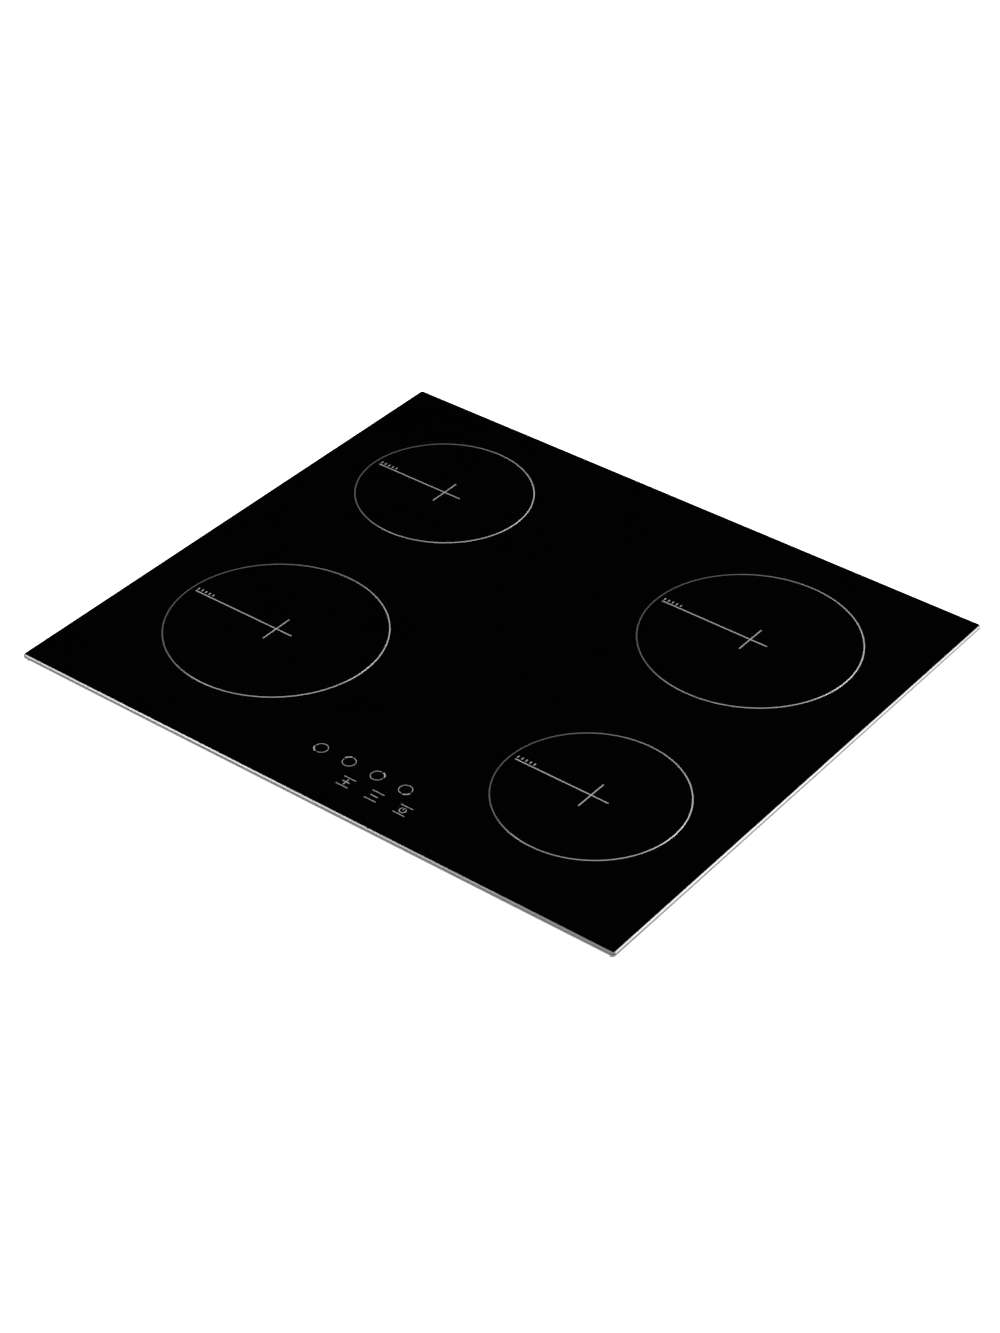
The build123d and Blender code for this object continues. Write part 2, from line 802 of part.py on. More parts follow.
def film_capacitors():
    """Upright film capacitors in two columns on each power board and a pair on the filter board."""
    width, depth, height = film_capacitor_size
    top = board_top + height
    inner_x = board_centre_x - board_width / 2 + post_edge + width / 2 + film_capacitor_gap
    pieces = []
    for side in (-1, 1):
        for column in range(film_capacitor_columns):
            for row in range(film_capacitor_rows):
                x = side * (inner_x + column * (width + film_capacitor_gap))
                y = board_centre_y + (row - (film_capacitor_rows - 1) / 2) * film_capacitor_pitch
                pieces.append(block(width, depth, board_top, top, x, y))
    for row in (-1, 1):
        x = filter_width / 2 - film_capacitor_gap - width / 2
        y = filter_centre_y + row * (depth + filter_capacitor_gap) / 2
        pieces.append(block(width, depth, board_top, top, x, y))
    return pieces


def toroid(x, y):
    """Ring-core choke that lies flat on a board."""
    place = Pos(x, y, board_top + choke_wire_radius)
    return place * Torus(choke_radius, choke_wire_radius)


def board_chokes():
    reach = choke_radius + choke_wire_radius
    x = board_centre_x - board_width / 2 + post_edge + choke_post_gap + reach
    y = board_centre_y - board_depth / 2 + choke_front_edge + reach
    return [toroid(side * x, y) for side in (-1, 1)]


def filter_choke():
    return toroid(-filter_width / 2 + choke_post_gap + choke_radius + choke_wire_radius, filter_centre_y)


def fan_housing(side):
    """Box with a round chamber, an outlet to the front, an inlet below and a spindle above."""
    x, y = side * fan_x, fan_y
    box = slab(fan_size, fan_size, fan_corner_radius, floor_top, fan_top, x, y)
    bottom = floor_top + fan_wall
    top = fan_top - fan_wall
    chamber = rod(fan_chamber_radius, bottom, top, x, y)
    outlet = block(fan_outlet_width, fan_size / 2, bottom, top, x, y - fan_size / 4)
    inlet = rod(fan_inlet_radius, floor_top, bottom, x, y)
    spindle = rod(spindle_radius, rotor_bottom + rotor_disc, top, x, y)
    return box - [chamber, outlet, inlet] + spindle


def fan_rotor(side):
    """Drum impeller: hub, top disc, upright blades and a stiffening ring under them."""
    x, y = side * fan_x, fan_y
    blades_top = rotor_top - rotor_disc
    ring_top = rotor_bottom + rotor_disc
    rotor = rod(rotor_radius, blades_top, rotor_top, x, y)
    rotor += rod(hub_radius, ring_top, blades_top, x, y)
    rotor += tube(rotor_radius, rotor_radius - blade_length, rotor_bottom, ring_top, x, y)
    for step in range(blade_count):
        place = Pos(x, y) * Rot(0, 0, step * 360.0 / blade_count)
        length = blade_length - 2 * blade_rim_gap
        blade = block(length, blade_thickness, ring_top, blades_top, rotor_radius - blade_length / 2)
        rotor += place * blade
    return rotor - rod(spindle_radius + spindle_clearance, ring_top, rotor_top, x, y)


# Mains side


def terminal_block():
    """Plastic block with a wire entry and a screw well for each way."""
    width, depth, height = terminal_size
    foot_width, foot_depth = terminal_foot_share
    bottom = floor_top + terminal_lift
    y = base_back - terminal_wall_gap - depth / 2
    body = block(width, depth, bottom, bottom + height, 0, y)
    pitch = width / terminal_ways
    entry_y = y + depth / 2 - terminal_entry_depth / 2
    entry_z = bottom + height * terminal_entry_rise
    cuts = []
    for step in range(terminal_ways):
        x = (step - (terminal_ways - 1) / 2) * pitch
        cuts.append(rod(pitch * terminal_well_share, bottom + height / 2, bottom + height, x, y))
        entry = Cylinder(pitch * terminal_entry_share, terminal_entry_depth)
        cuts.append(Pos(x, entry_y, entry_z) * Rot(90, 0, 0) * entry)
    foot = block(width * foot_width, depth * foot_depth, floor_top, bottom, 0, y)
    return body - cuts + foot


def terminal_cover():
    """Plastic lid over the terminal opening, hinged on two pins at its lower edge."""
    inner_y = base_back + cover_wall_gap
    top = cover_axis_z + cover_height
    lid = block(cover_width, cover_thickness, cover_axis_z, top, 0, inner_y + cover_thickness / 2)
    rib_depth, rib_height = cover_rib_size
    rib_y = inner_y + cover_thickness + rib_depth / 2
    rib_width = cover_width - 2 * cover_rib_margin
    for step in range(cover_rib_count):
        shift = (step - (cover_rib_count - 1) / 2) * cover_rib_pitch
        rib_bottom = cover_axis_z + cover_height / 2 + cover_rib_lift + shift - rib_height / 2
        lid += block(rib_width, rib_depth, rib_bottom, rib_bottom + rib_height, 0, rib_y)
    barrel = Pos(0, cover_axis_y, cover_axis_z) * Rot(0, 90, 0) * Cylinder(cover_barrel_radius, cover_width)
    pin_length = cover_width + 2 * (cover_side_gap + cover_ear_sheet + cover_pin_end)
    pins = Pos(0, cover_axis_y, cover_axis_z) * Rot(0, 90, 0) * Cylinder(cover_pin_radius, pin_length)
    return lid + barrel + pins


def inlet_grommet():
    """Rubber grommet in the back wall: a neck through the wall, a flange outside and a lip inside."""
    neck_radius = inlet_bore_radius + inlet_wall
    length = inlet_lip + case_sheet + inlet_flange
    neck = Cylinder(neck_radius, length)
    flange_z = -length / 2 + inlet_flange / 2
    flange = Pos(0, 0, flange_z) * Cylinder(neck_radius + inlet_flange_rim, inlet_flange)
    lip = Pos(0, 0, length / 2 - inlet_lip / 2) * Cylinder(neck_radius + inlet_lip_rim, inlet_lip)
    grommet = neck + flange + lip - Cylinder(inlet_bore_radius, length)
    middle_y = base_back + inlet_flange - length / 2
    return Pos(inlet_from_centre, middle_y, inlet_z) * Rot(90, 0, 0) * grommet


# Control unit


def control_carrier():
    """Open plastic tray that holds the control board up under the glass."""
    top = control_floor + control_height
    floor = control_floor + control_wall
    shell = slab(control_width, control_depth, control_corner_radius, control_floor, top, control_x, control_y)
    hollow = slab(control_width - 2 * control_wall, control_depth - 2 * control_wall,
                  control_corner_radius - control_wall, floor, top, control_x, control_y)
    slot_width = ribbon_width + 2 * ribbon_slot_gap
    slot_depth = ribbon_thickness + 2 * ribbon_slot_gap
    slot = block(slot_width, slot_depth, control_floor, floor, control_x, ribbon_drop_y())
    carrier = shell - hollow - slot
    ledge_level = control_board_top - board_thickness
    for side in (-1, 1):
        x = control_x + side * (control_width / 2 - control_wall - control_ledge / 2)
        ledge_depth = control_depth - 2 * control_wall
        carrier += block(control_ledge, ledge_depth, floor, ledge_level, x, control_y)
    return carrier


def control_board():
    margin = 2 * (control_wall + control_board_gap)
    bottom = control_board_top - board_thickness
    return slab(control_width - margin, control_depth - margin, control_corner_radius - control_wall,
                bottom, control_board_top, control_x, control_y)


def touch_pads():
    """One ring of conductive foam between the control board and the glass under each key."""
    places = [(x, zone_keys_y) for _, x in zone_key_places()]
    places += [(x, lower_keys_y) for x in lower_key_places()]
    inner_radius = touch_pad_radius - touch_pad_wall
    return [tube(touch_pad_radius, inner_radius, control_board_top, glass_bottom, x, y) for x, y in places]


def level_displays():
    """One small digit module inside each zone key's foam ring."""
    width, depth = display_size
    top = glass_bottom - display_gap
    return [block(width, depth, control_board_top, top, x, zone_keys_y) for _, x in zone_key_places()]


# Leaf clips


def spring_clip(side, row):
    """Leaf hooked through a window in the rim wall; it springs outwards to the cut-out's edge."""
    bend = clip_hook_depth / 2
    points = [
        (-clip_hook_length, -clip_hook_depth),
        (0.0, -clip_hook_depth),
        (clip_hook_depth + bend, bend),
        (clip_length, clip_reach),
        (clip_length + clip_tip_length, clip_reach - clip_tip_return),
    ]
    placed = [(side * (rim_width / 2 + v), row * (clip_start_y + u)) for u, v in points]
    outline = strip(placed, clip_sheet)
    return extrude(Pos(0, 0, clip_middle_z - clip_height / 2) * outline, clip_height)


# Wires


def ribbon_drop_y():
    """Y of the ribbon cable where it drops through the control carrier and the tray."""
    return base_front + case_sheet + ribbon_wall_gap + ribbon_thickness / 2


def ribbon_cable():
    """Flat cable from the control board down through the tray to the right power board."""
    y = ribbon_drop_y()
    x = control_x
    half = ribbon_thickness / 2
    lower_z = board_top + half
    upper_z = control_board_top - board_thickness
    drop = block(ribbon_width, ribbon_thickness, lower_z - half, upper_z, x, y)
    foot_end = board_centre_y - board_depth / 2 + ribbon_foot_reach
    foot = block(ribbon_width, foot_end - y, lower_z - half, lower_z + half, x, (foot_end + y) / 2)
    return drop + foot


def coil_leads():
    """A pair of litz leads for each coil, from beside its plate down to the nearer power board."""
    wires = []
    run_z = tray_bottom - lead_run_drop
    for zone in zones.values():
        hole_x, hole_y = lead_hole(zone)
        for half in (-0.5, 0.5):
            x = hole_x + half * lead_spacing_x
            y = hole_y + half * lead_spacing_y
            tail_x = zone["x"] - zone["side"] * (zone["coil"] + base_plate_rim + lead_hole_edge)
            tail_z = base_plate_bottom - lead_tail_drop
            points = [(tail_x, y, tail_z), (x, y, tail_z)]
            if y > board_back:
                end_y = board_back - lead_board_edge
                points += [(x, y, run_z), (x, end_y, run_z), (x, end_y, board_top)]
            else:
                points.append((x, y, board_top))
            wires.append(wire_along(points, lead_radius, lead_bend))
    return wires


def mains_wires():
    """Live, neutral and earth wires from the terminal block to the filter board."""
    _, depth, height = terminal_size
    front_y = base_back - terminal_wall_gap - depth
    start_z = floor_top + terminal_lift + height * mains_wire_rise
    end_y = filter_centre_y + filter_depth / 2 - mains_wire_board_edge
    wires = []
    for step in (-1, 0, 1):
        x = step * mains_wire_pitch
        points = [(x, front_y, start_z), (x, end_y, start_z), (x, end_y, board_top)]
        wires.append(wire_along(points, mains_wire_radius, mains_wire_bend))
    return wires


def all_nodes():
    nodes = {
        "glass_top": [glass_top_plate()],
        "surface_print": surface_print(),
        "worktop_seal": [worktop_seal()],
        "glass_adhesive": [glass_adhesive()],
        "mounting_frame": [mounting_frame()],
        "lower_case": [lower_case()],
        "sheet_screws": sheet_screws(),
        "coil_tray": [coil_tray()],
        "filter_board": [filter_board()],
        "filter_choke": [filter_choke()],
        "board_posts": board_posts(),
        "power_transistors": power_transistors(),
        "film_capacitors": film_capacitors(),
        "board_chokes": board_chokes(),
        "terminal_block": [terminal_block()],
        "terminal_cover": [terminal_cover()],
        "inlet_grommet": [inlet_grommet()],
        "control_carrier": [control_carrier()],
        "control_board": [control_board()],
        "touch_pads": touch_pads(),
        "level_displays": level_displays(),
        "ribbon_cable": [ribbon_cable()],
        "coil_leads": coil_leads(),
        "mains_wires": mains_wires(),
    }
    for word, side in (("left", -1), ("right", 1)):
        nodes[f"power_board_{word}"] = [power_board(side)]
        nodes[f"heat_sink_{word}"] = [heat_sink(side)]
        nodes[f"fan_housing_{word}"] = [fan_housing(side)]
        nodes[f"fan_rotor_{word}"] = [fan_rotor(side)]
    for name, (side, row) in clip_places().items():
        nodes[f"spring_clip_{name}"] = [spring_clip(side, row)]
    for name, zone in zones.items():
        nodes[f"coil_winding_{name}"] = [coil_winding(zone)]
        nodes[f"insulation_sheet_{name}"] = [insulation_sheet(zone)]
        nodes[f"ferrite_bars_{name}"] = ferrite_bars(zone)
        nodes[f"coil_base_plate_{name}"] = [coil_base_plate(zone)]
        nodes[f"zone_sensor_{name}"] = [zone_sensor(zone)]
        nodes[f"coil_springs_{name}"] = coil_springs(zone)
    return nodes


os.makedirs("parts", exist_ok=True)
for node_name, node_pieces in all_nodes().items():
    node_shape = node_pieces[0] if len(node_pieces) == 1 else Compound(children=node_pieces)
    node_shape.label = node_name
    export_step(node_shape, f"parts/{node_name}.step")
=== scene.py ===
import json
import math
import bmesh
import bpy
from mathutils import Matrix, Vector


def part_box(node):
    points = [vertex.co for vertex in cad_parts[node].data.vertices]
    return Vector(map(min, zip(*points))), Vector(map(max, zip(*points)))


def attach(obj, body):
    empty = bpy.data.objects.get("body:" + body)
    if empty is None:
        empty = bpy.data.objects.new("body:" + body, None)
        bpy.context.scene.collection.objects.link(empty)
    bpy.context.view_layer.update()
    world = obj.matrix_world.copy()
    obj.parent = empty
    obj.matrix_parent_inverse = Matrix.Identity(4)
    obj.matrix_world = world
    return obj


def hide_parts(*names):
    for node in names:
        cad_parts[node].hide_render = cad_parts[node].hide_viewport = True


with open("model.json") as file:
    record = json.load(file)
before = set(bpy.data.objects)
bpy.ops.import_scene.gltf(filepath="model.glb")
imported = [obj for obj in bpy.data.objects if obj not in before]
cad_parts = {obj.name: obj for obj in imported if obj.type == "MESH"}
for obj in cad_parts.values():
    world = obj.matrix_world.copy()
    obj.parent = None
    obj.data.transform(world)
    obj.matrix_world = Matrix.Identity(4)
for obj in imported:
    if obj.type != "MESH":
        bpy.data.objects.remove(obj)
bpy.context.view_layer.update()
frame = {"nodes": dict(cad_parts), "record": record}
nodes = frame["nodes"]
mm = 0.001
print("frame loaded:", len(nodes), "nodes")

bpy.ops.object.select_all(action="DESELECT")


# helpers that every piece uses

def linear(hexColour):
    parts = [int(hexColour[i:i + 2], 16) / 255 for i in (1, 3, 5)]
    return [p / 12.92 if p <= 0.04045 else ((p + 0.055) / 1.055) ** 2.4 for p in parts] + [1.0]


def addNode(tree, kind, settings=None, links=None):
    node = tree.nodes.new(kind)
    for name, value in (settings or {}).items():
        if isinstance(name, int) or name in node.inputs:
            node.inputs[name].default_value = value
        else:
            setattr(node, name, value)
    for name, source in (links or {}).items():
        tree.links.new(source, node.inputs[name])
    return node


def startPiece(name):
    piece = bpy.context.object
    piece.name = name
    piece.data.name = name
    bpy.ops.object.transform_apply(location=True, rotation=True, scale=True)
    return piece


def addObject(name, data):
    added = bpy.data.objects.new(name, data)
    bpy.context.scene.collection.objects.link(added)
    return added


def onlyPick(piece):
    bpy.ops.object.select_all(action="DESELECT")
    piece.select_set(True)
    bpy.context.view_layer.objects.active = piece


def pickFaces(test):
    bpy.ops.mesh.select_mode(type="FACE")
    bpy.ops.mesh.select_all(action="DESELECT")
    mesh = bmesh.from_edit_mesh(bpy.context.object.data)
    mesh.normal_update()
    for face in mesh.faces:
        face.select_set(bool(test(face.calc_center_median(), face.normal)))
    bmesh.update_edit_mesh(bpy.context.object.data)


def pickEdges(test):
    bpy.ops.mesh.select_mode(type="EDGE")
    bpy.ops.mesh.select_all(action="DESELECT")
    mesh = bmesh.from_edit_mesh(bpy.context.object.data)
    for edge in mesh.edges:
        edge.select_set(bool(test(edge.verts[0].co, edge.verts[1].co)))
    bmesh.update_edit_mesh(bpy.context.object.data)


def near(a, b, gap=0.00002):
    return abs(a - b) < gap


def upright(a, b):
    return near(a.x, b.x) and near(a.y, b.y)


def softenEdges(piece, width, segments, angle):
    bpy.context.view_layer.objects.active = piece
    soft = piece.modifiers.new("soft", "BEVEL")
    soft.width = width * mm
    soft.segments = segments
    soft.limit_method = "ANGLE"
    soft.angle_limit = math.radians(angle)
    soft.use_clamp_overlap = True
    bpy.ops.object.modifier_apply(modifier=soft.name)


def finishPiece(piece, body, replaced, smoothAngle):
    onlyPick(piece)
    bpy.ops.object.shade_smooth_by_angle(angle=math.radians(smoothAngle))
    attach(piece, body)
    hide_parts(*replaced)
    piece.select_set(False)


# Materials. Each entry: two tones of the surface, roughness range, grain size in mm along X, Y and Z,
# relief height in mm, and the kind of pattern the process leaves.
finishes = {
    # closed-cell polyethylene foam: charcoal skin with fine pores, no shine
    "closedCellFoam": {"tones": ("#1b1b1c", "#101011"), "rough": (0.85, 0.95), "grain": (0.8, 0.8, 0.8),
                       "relief": 0.12, "pattern": "cells", "specular": 0.25},
    # silicone bead: black, wet-looking when cured, slightly wavy from the nozzle
    "curedSilicone": {"tones": ("#17171a", "#0e0e10"), "rough": (0.3, 0.45), "grain": (9, 9, 3),
                      "relief": 0.1, "pattern": "noise"},
    # hot-dip galvanised sheet steel: pale blue-grey crystals a few millimetres across
    "galvanisedSteel": {"tones": ("#bcc0c2", "#989da0"), "rough": (0.3, 0.46), "grain": (4.5, 4.5, 4.5),
                        "relief": 0.01, "pattern": "cells", "metallic": 1.0},
    # zinc-plated screw: bright with a faint blue passivation and turning marks
    "zincPlate": {"tones": ("#b9c0c6", "#9ba3ab"), "rough": (0.22, 0.34), "grain": (0.9, 0.9, 0.3),
                  "relief": 0.008, "pattern": "noise", "metallic": 1.0},
    # rolled aluminium sheet: soft white metal with long mill streaks along X
    "rolledAluminium": {"tones": ("#d3d5d6", "#bcbfc2"), "rough": (0.26, 0.4), "grain": (60, 1.2, 1.2),
                        "relief": 0.006, "pattern": "noise", "metallic": 1.0},
    # extruded aluminium: die lines run the length of the profile
    "extrudedAluminium": {"tones": ("#cdd0d2", "#b2b6ba"), "rough": (0.3, 0.42), "grain": (0.9, 90, 0.9),
                          "relief": 0.01, "pattern": "noise", "metallic": 1.0},
    # lacquered copper litz: fine twisted strands, warm red-brown
    "copperLitz": {"tones": ("#b8673c", "#7d3d20"), "rough": (0.28, 0.42), "grain": (0.9, 0.9, 0.9),
                   "relief": 0.12, "pattern": "cells", "metallic": 0.85},
    # sintered ferrite: dark charcoal ceramic, faint powder grain
    "sinteredFerrite": {"tones": ("#3a3b3d", "#2b2c2e"), "rough": (0.6, 0.75), "grain": (1.0, 1.0, 1.0),
                        "relief": 0.02, "pattern": "noise"},
    # pressed mica: cream flakes that catch the light
    "pressedMica": {"tones": ("#d9d0b8", "#b9ac8c"), "rough": (0.35, 0.6), "grain": (4, 4, 4),
                    "relief": 0.02, "pattern": "cells"},
    # moulded silicone rubber boot: brick red, satin
    "redSilicone": {"tones": ("#b4472f", "#9c3a26"), "rough": (0.5, 0.6), "grain": (2, 2, 2),
                    "relief": 0.01, "pattern": "noise"},
    # tempered spring steel strip: grey with rolling streaks
    "springSteel": {"tones": ("#9c9fa1", "#74787b"), "rough": (0.24, 0.36), "grain": (1, 25, 1),
                    "relief": 0.006, "pattern": "noise", "metallic": 1.0},
    # natural nylon moulding: milky off-white, light sheen
    "naturalNylon": {"tones": ("#e6e2d6", "#d8d3c4"), "rough": (0.38, 0.5), "grain": (5, 5, 5),
                     "relief": 0.01, "pattern": "noise"},
    # glass-filled polyamide, spark-eroded mould: black with a fine even grain
    "blackPolyamide": {"tones": ("#222325", "#18191a"), "rough": (0.48, 0.6), "grain": (0.7, 0.7, 0.7),
                       "relief": 0.04, "pattern": "noise"},
    # polypropylene cover, spark-eroded mould: dark grey with a fine grain
    "greyPolypropylene": {"tones": ("#56585b", "#484a4d"), "rough": (0.5, 0.62), "grain": (0.7, 0.7, 0.7),
                          "relief": 0.04, "pattern": "noise"},
    # resin-potted capacitor box: blue-grey, glossy with slight sink marks
    "pottedBox": {"tones": ("#5d6673", "#4f5763"), "rough": (0.2, 0.32), "grain": (12, 12, 12),
                  "relief": 0.05, "pattern": "noise"},
    # display module: smoked polycarbonate lens
    "smokedLens": {"tones": ("#1c1517", "#120e10"), "rough": (0.1, 0.18), "grain": (6, 6, 6),
                   "relief": 0.005, "pattern": "noise"},
    # chloroprene rubber moulding: black, soft sheen with a dusty bloom
    "blackRubber": {"tones": ("#242425", "#171718"), "rough": (0.58, 0.72), "grain": (1.5, 1.5, 1.5),
                    "relief": 0.02, "pattern": "noise"},
    # flat cable, extruded vinyl: pale grey with cores that show as stripes across X
    "greyVinyl": {"tones": ("#b5b7ba", "#8f9296"), "rough": (0.4, 0.5), "grain": (1.27, 200, 200),
                  "relief": 0.15, "pattern": "bands"},
    # woven glass sleeve: cream yarns, diagonal braid
    "glassSleeve": {"tones": ("#d9d4c4", "#b3ac97"), "rough": (0.7, 0.85), "grain": (0.9, 0.9, 0.9),
                    "relief": 0.15, "pattern": "bands"},
    # extruded vinyl wire: brown with a glossy die finish
    "brownVinyl": {"tones": ("#6a3320", "#572817"), "rough": (0.28, 0.36), "grain": (8, 8, 8),
                   "relief": 0.01, "pattern": "noise"},
}


def startMaterial(name, shader):
    material = bpy.data.materials.new(name)
    material.use_nodes = True
    tree = material.node_tree
    tree.nodes.clear()
    surface = addNode(tree, "ShaderNodeBsdfPrincipled", shader)
    addNode(tree, "ShaderNodeOutputMaterial", links={"Surface": surface.outputs["BSDF"]})
    place = addNode(tree, "ShaderNodeTexCoord").outputs["Object"]
    return material, tree, surface, place


def wireSurface(tree, surface, colour, rough, relief):
    tree.links.new(colour, surface.inputs["Base Color"])
    tree.links.new(rough.outputs["Result"], surface.inputs["Roughness"])
    tree.links.new(relief.outputs["Normal"], surface.inputs["Normal"])


# broad unevenness over several centimetres, so large faces don't look printed
mottle = {"perMetre": 18.0, "grainShare": 0.6, "broadShare": 0.4, "relief": 0.6}


def makeFinish(name, look):
    shader = {"Metallic": look.get("metallic", 0.0), "Specular IOR Level": look.get("specular", 0.5)}
    material, tree, surface, place = startMaterial(name, shader)
    scale = [1 / (g * mm) for g in look["grain"]]
    placed = addNode(tree, "ShaderNodeMapping", {"Scale": scale}, {"Vector": place}).outputs["Vector"]
    if look["pattern"] == "cells":
        grain = addNode(tree, "ShaderNodeTexVoronoi", {"Scale": 1.0}, {"Vector": placed})
        spread = addNode(tree, "ShaderNodeSeparateColor",
                         links={"Color": grain.outputs["Color"]}).outputs["Red"]
        height = grain.outputs["Distance"]
    elif look["pattern"] == "bands":
        grain = addNode(tree, "ShaderNodeTexWave", {"Scale": 0.5, "Distortion": 0.3, "wave_type": "BANDS"},
                        {"Vector": placed})
        spread = height = grain.outputs["Fac"]
    else:
        grain = addNode(tree, "ShaderNodeTexNoise", {"Scale": 1.0, "Detail": 4.0}, {"Vector": placed})
        spread = height = grain.outputs["Fac"]
    broad = addNode(tree, "ShaderNodeTexNoise", {"Scale": mottle["perMetre"], "Detail": 2.0},
                    {"Vector": place}).outputs["Fac"]
    both = addNode(tree, "ShaderNodeMath", {"operation": "MULTIPLY_ADD", 1: mottle["grainShare"]},
                   {0: spread})
    share = addNode(tree, "ShaderNodeMath", {"operation": "MULTIPLY", 1: mottle["broadShare"]}, {0: broad})
    tree.links.new(share.outputs[0], both.inputs[2])
    light, dark = look["tones"]
    colour = addNode(tree, "ShaderNodeMixRGB", {"Color1": linear(dark), "Color2": linear(light)},
                     {"Fac": both.outputs[0]})
    low, high = look["rough"]
    rough = addNode(tree, "ShaderNodeMapRange", {"To Min": low, "To Max": high}, {"Value": both.outputs[0]})
    relief = addNode(tree, "ShaderNodeBump", {"Strength": mottle["relief"], "Distance": look["relief"] * mm},
                     {"Height": height})
    wireSurface(tree, surface, colour.outputs["Color"], rough, relief)
    return material


finished = {name: makeFinish(name, look) for name, look in finishes.items()}


# Black glass-ceramic, fire-polished by rolling: jet black body, mirror surface, faint wipe haze.
ceramicLook = {"body": "#010101", "haze": "#020202", "rough": (0.03, 0.06), "wipe": 70.0, "roll": 0.002}


def makeCeramic():
    material, tree, surface, place = startMaterial("blackGlassCeramic", {"IOR": 1.52})
    scale = 1 / (ceramicLook["wipe"] * mm)
    wipe = addNode(tree, "ShaderNodeTexNoise", {"Scale": scale, "Detail": 3.0, "Distortion": 1.2},
                   {"Vector": place}).outputs["Fac"]
    colour = addNode(tree, "ShaderNodeMixRGB", {"Color1": linear(ceramicLook["body"]),
                                                "Color2": linear(ceramicLook["haze"])}, {"Fac": wipe})
    low, high = ceramicLook["rough"]
    rough = addNode(tree, "ShaderNodeMapRange", {"To Min": low, "To Max": high}, {"Value": wipe})
    relief = addNode(tree, "ShaderNodeBump", {"Strength": 0.5, "Distance": ceramicLook["roll"] * mm},
                     {"Height": wipe})
    wireSurface(tree, surface, colour.outputs["Color"], rough, relief)
    return material


# Ground and seamed glass edge: the diamond wheel leaves a satin grey skin with a fine even grit.
edgeLook = {"light": "#727477", "dark": "#4c4e50", "rough": (0.24, 0.36), "grit": 0.35}


def makeGroundEdge():
    shader = {"IOR": 1.52, "Specular IOR Level": 1.0}
    material, tree, surface, place = startMaterial("groundGlassEdge", shader)
    grit = addNode(tree, "ShaderNodeTexNoise", {"Scale": 1 / (edgeLook["grit"] * mm), "Detail": 4.0},
                   {"Vector": place}).outputs["Fac"]
    colour = addNode(tree, "ShaderNodeMixRGB", {"Color1": linear(edgeLook["dark"]),
                                                "Color2": linear(edgeLook["light"])}, {"Fac": grit})
    low, high = edgeLook["rough"]
    rough = addNode(tree, "ShaderNodeMapRange", {"To Min": low, "To Max": high}, {"Value": grit})
    relief = addNode(tree, "ShaderNodeBump", {"Strength": 0.4, "Distance": 0.01 * mm}, {"Height": grit})
    wireSurface(tree, surface, colour.outputs["Color"], rough, relief)
    return material


# Fired screen-print enamel: silver-grey frit, a dot grid from the screen just shows as mottling.
# The rings' frit piles up on the outer side as the screen lifts, so they catch light from outside the ring.
# Their colour also carries a painted highlight and shade: lighter on the side of the ring that faces the
# light, darker on the far side.
enamelLook = {"light": "#9fa0a2", "dark": "#77787a", "rough": (0.3, 0.5), "mesh": 0.45, "lean": 0.9,
              "litTurn": 10, "thin": 0.2, "litShare": 1.2}


def makeEnamel(name, centre=None):
    material, tree, surface, place = startMaterial(name, {"IOR": 1.6})
    mesh = addNode(tree, "ShaderNodeTexVoronoi", {"Scale": 1 / (enamelLook["mesh"] * mm)},
                   {"Vector": place}).outputs["Distance"]
    colour = addNode(tree, "ShaderNodeMixRGB", {"Color1": linear(enamelLook["light"]),
                                                "Color2": linear(enamelLook["dark"])}, {"Fac": mesh})
    low, high = enamelLook["rough"]
    rough = addNode(tree, "ShaderNodeMapRange", {"To Min": low, "To Max": high}, {"Value": mesh})
    relief = addNode(tree, "ShaderNodeBump", {"Strength": 0.4, "Distance": 0.01 * mm}, {"Height": mesh})
    painted = colour.outputs["Color"]
    # ring materials: normals tilted outward, and a colour scaled round the ring by a painted shade
    if centre:
        moved = {"Location": (-centre.x, -centre.y, 0), "Scale": (1, 1, 0)}
        around = addNode(tree, "ShaderNodeMapping", moved, {"Vector": place}).outputs["Vector"]
        outward = addNode(tree, "ShaderNodeVectorMath", {"operation": "NORMALIZE"}, {0: around}).outputs[0]
        leaning = addNode(tree, "ShaderNodeVectorMath",
                          {"operation": "SCALE", "Scale": enamelLook["lean"]}, {0: outward}).outputs[0]
        flat = addNode(tree, "ShaderNodeNewGeometry").outputs["Normal"]
        tilted = addNode(tree, "ShaderNodeVectorMath", {"operation": "ADD"},
                         {0: flat, 1: leaning}).outputs[0]
        normal = addNode(tree, "ShaderNodeVectorMath", {"operation": "NORMALIZE"}, {0: tilted}).outputs[0]
        tree.links.new(normal, relief.inputs["Normal"])
        # painted shade: the colour is scaled from the darkest share on the side facing away from the light to
        # the lightest share on the side facing it
        turn = math.radians(enamelLook["litTurn"])
        towardLit = addNode(tree, "ShaderNodeVectorMath",
                        {"operation": "DOT_PRODUCT", 1: (math.cos(turn), math.sin(turn), 0)}, {0: outward})
        shadeRange = {"From Min": -1.0, "To Min": enamelLook["thin"], "To Max": enamelLook["litShare"]}
        paintedShade = addNode(tree, "ShaderNodeMapRange", shadeRange, {"Value": towardLit.outputs["Value"]})
        painted = addNode(tree, "ShaderNodeVectorMath", {"operation": "SCALE"},
                          {0: painted, "Scale": paintedShade.outputs["Result"]}).outputs[0]
    wireSurface(tree, surface, painted, rough, relief)
    return material


# Glass-epoxy laminate under green solder mask: tracks show as slightly paler bands with a soft step.
boardLook = {"mask": "#1f5a38", "track": "#2f7a4c", "gap": "#184a2d", "pitch": 5.0, "gapShare": 0.08,
             "trackShare": 2.6, "rowShare": 0.5, "step": 0.04, "rough": 0.32}


